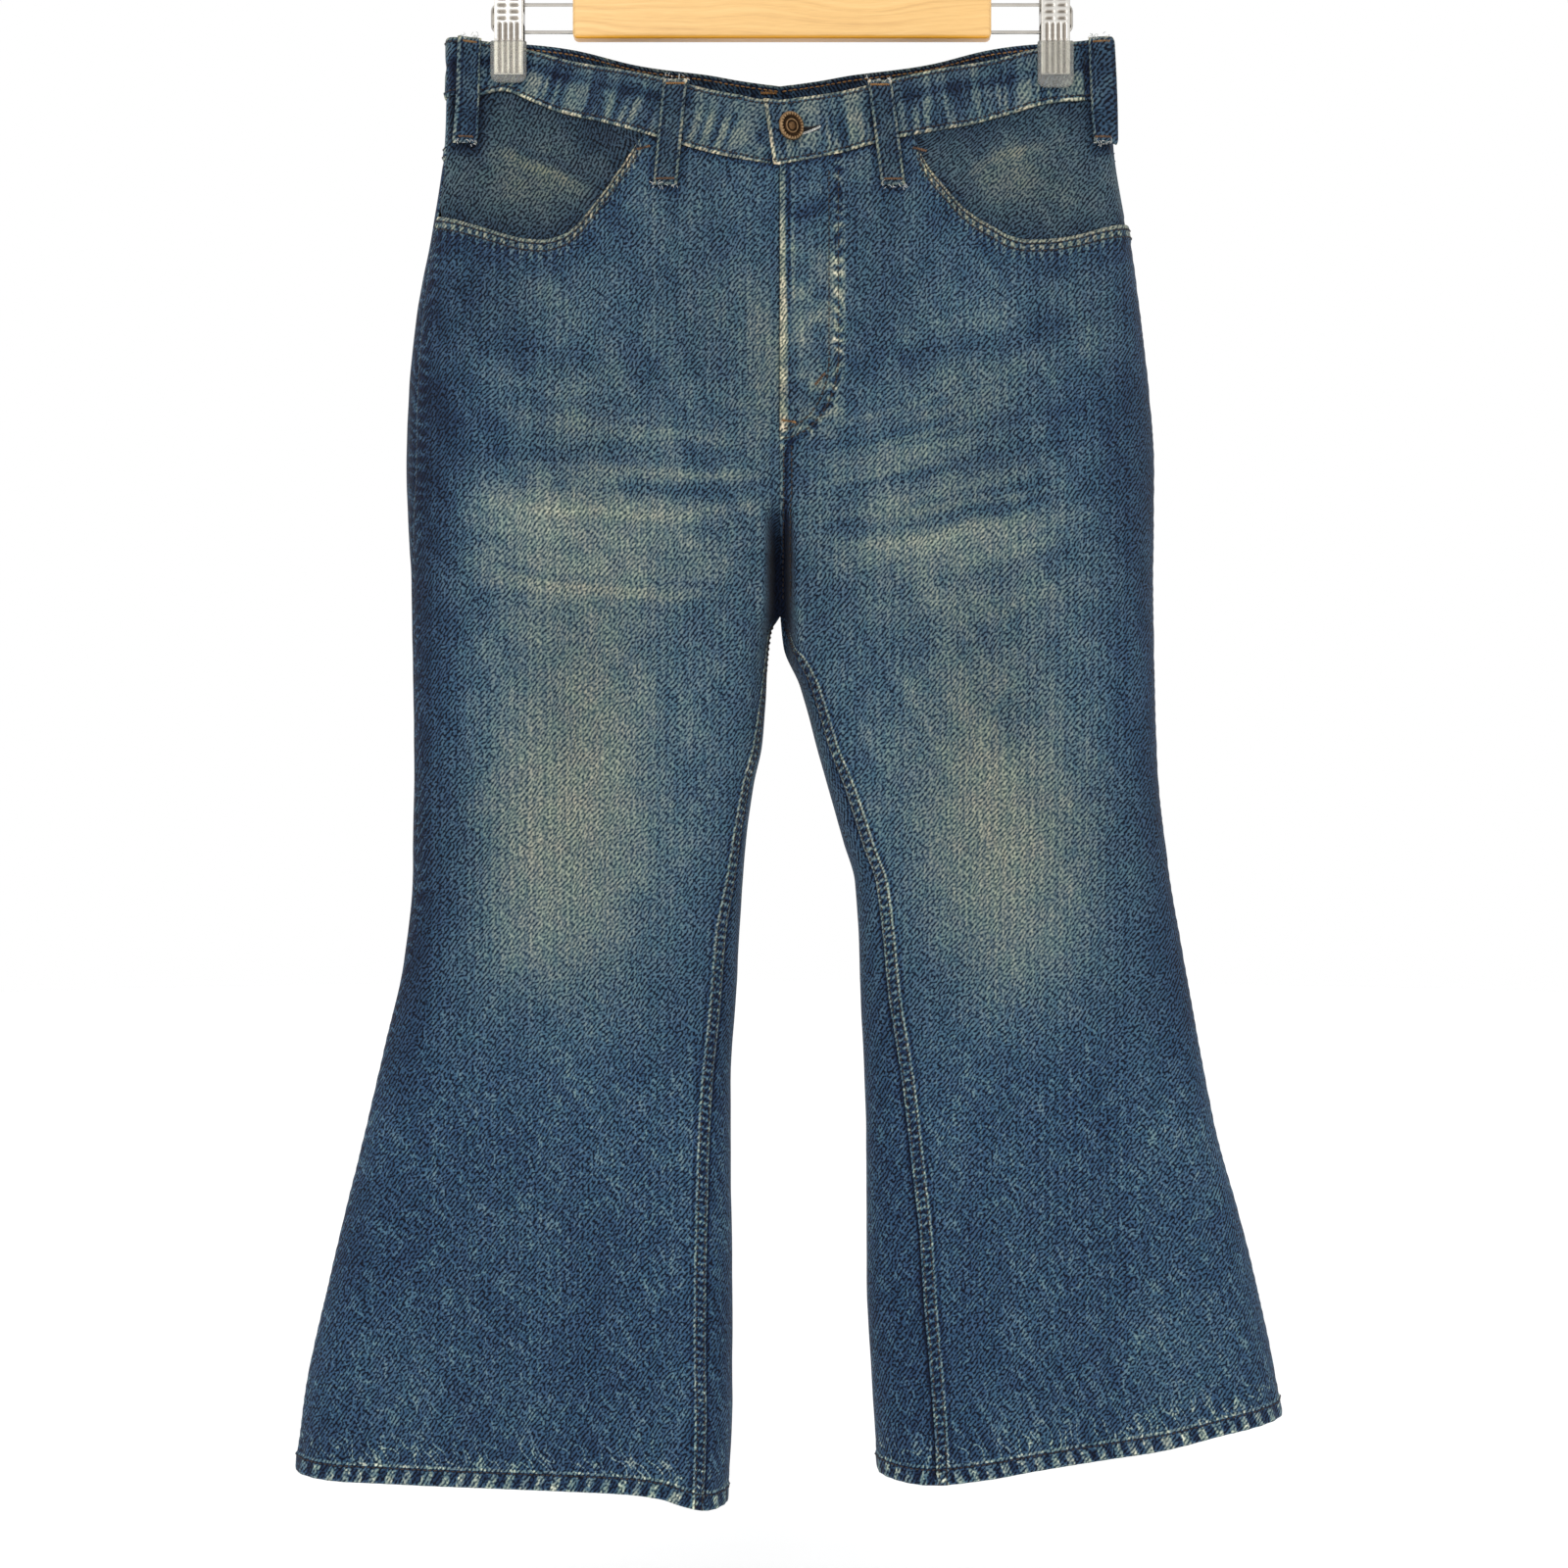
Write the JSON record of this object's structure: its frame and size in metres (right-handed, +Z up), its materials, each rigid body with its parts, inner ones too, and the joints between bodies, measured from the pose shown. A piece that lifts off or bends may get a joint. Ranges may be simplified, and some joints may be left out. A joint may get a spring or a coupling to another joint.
{
  "type": "flared jeans on a clip hanger",
  "caption": "Flared denim jeans with scoop front pockets, a fly and belt loops, hanging by the waistband from a wooden clip hanger.",
  "frame": {"origin": "the point inside the top of the hanger's hook that rests on a rail", "axes": "+Z up, -Y out of the jeans' front, +X to the right as the front is seen"},
  "size_m": [0.6032, 0.0868, 1.008],
  "materials": {
    "denim": "worn mid-blue cotton twill",
    "denim_facing": "worn cotton twill, greyer than the panels",
    "zip_tape": "woven navy tape with a closed chain",
    "aged_brass": "aged, with brighter rims",
    "nickelled_steel": "nickelled, bright",
    "wood": "clear-varnished pale wood",
    "frosted_plastic": "frosted, lets light through"
  },
  "bodies": {
    "root": {"front_panel_left": "denim", "front_panel_right": "denim", "back_panel_left": "denim", "back_panel_right": "denim", "yoke_left": "denim", "yoke_right": "denim", "waistband": "denim", "belt_loop_front_left": "denim", "belt_loop_front_right": "denim", "belt_loop_side_left": "denim", "belt_loop_side_right": "denim", "belt_loop_back": "denim", "pocket_facing_left": "denim_facing", "pocket_facing_right": "denim_facing", "back_pocket_left": "denim", "back_pocket_right": "denim", "fly_facing": "denim", "fly_shield": "denim", "zip_tape": "zip_tape", "waist_button": "aged_brass", "hanger_hook": "nickelled_steel", "hanger_bar": "wood", "hanger_arm_left": "nickelled_steel", "hanger_arm_right": "nickelled_steel", "hanger_clip_left": "nickelled_steel", "hanger_clip_right": "nickelled_steel", "clip_pad_front_left": "frosted_plastic", "clip_pad_back_left": "frosted_plastic", "clip_pad_front_right": "frosted_plastic", "clip_pad_back_right": "frosted_plastic"}
  },
  "joints": []
}
